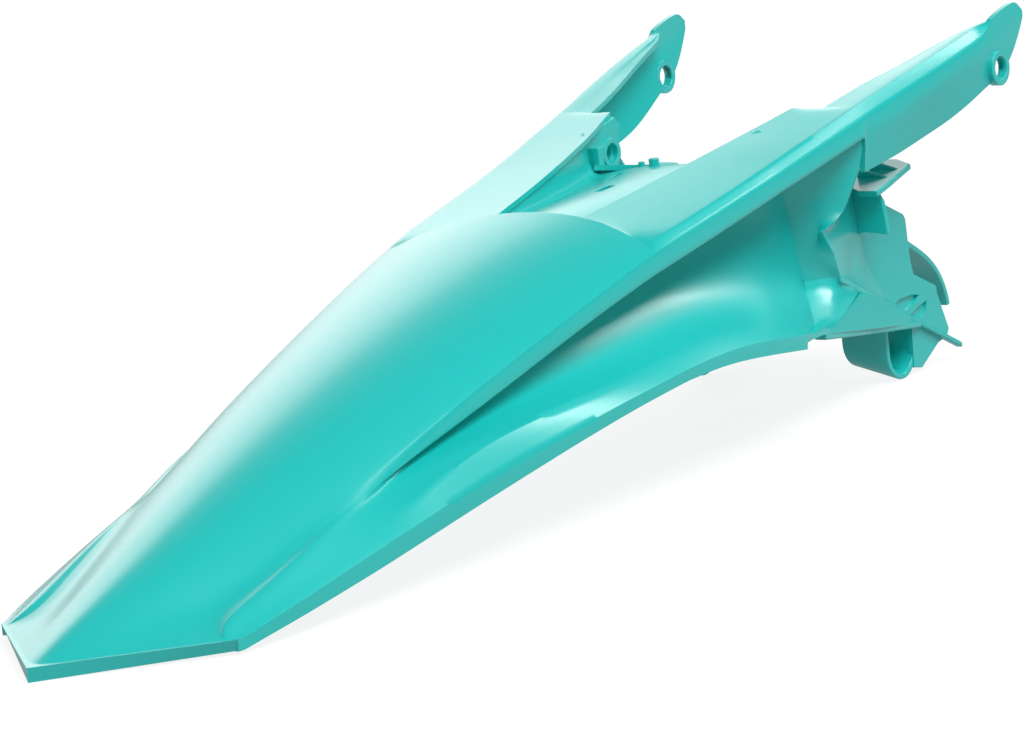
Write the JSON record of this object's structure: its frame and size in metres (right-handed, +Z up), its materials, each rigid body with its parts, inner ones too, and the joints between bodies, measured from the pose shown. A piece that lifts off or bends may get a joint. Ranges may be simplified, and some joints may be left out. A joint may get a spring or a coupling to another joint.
{
  "type": "motorcycle rear fender",
  "caption": "Long moulded rear fender with a rounded tail, side skirts over deep flutes, two forked arms with bolt rings, an inner seat channel and a strap loop.",
  "frame": {"origin": "middle of the bounding box, at its bottom", "axes": "+X to the front of the motorcycle, +Y to its left, +Z up"},
  "size_m": [0.6816, 0.2092, 0.182],
  "materials": {
    "moulding": "glossy"
  },
  "bodies": {
    "root": {"fender": "moulding"}
  },
  "joints": []
}
